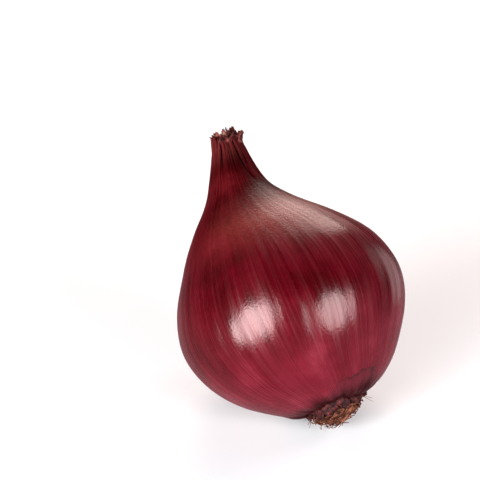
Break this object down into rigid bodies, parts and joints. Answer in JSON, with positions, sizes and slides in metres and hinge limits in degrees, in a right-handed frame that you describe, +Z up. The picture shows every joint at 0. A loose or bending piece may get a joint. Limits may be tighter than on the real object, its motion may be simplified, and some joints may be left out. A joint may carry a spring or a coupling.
{
  "type": "red onion",
  "caption": "Whole red onion lying on its side: round glossy crimson bulb, pleated neck with a torn dry top, and a tuft of short dry roots.",
  "frame": {"origin": "middle of the onion's bounding box, on the surface that it lies on", "axes": "+Z up from the surface that it lies on, -Y the side that shows in the picture, neck leaning towards -X and +Y"},
  "size_m": [0.0746, 0.0728, 0.0864],
  "materials": {
    "red_skin": "glossy dry onion skin",
    "dry_root": "matt dry root fibre"
  },
  "bodies": {
    "root": {"bulb": "red_skin", "root_tuft": "dry_root"}
  },
  "joints": []
}
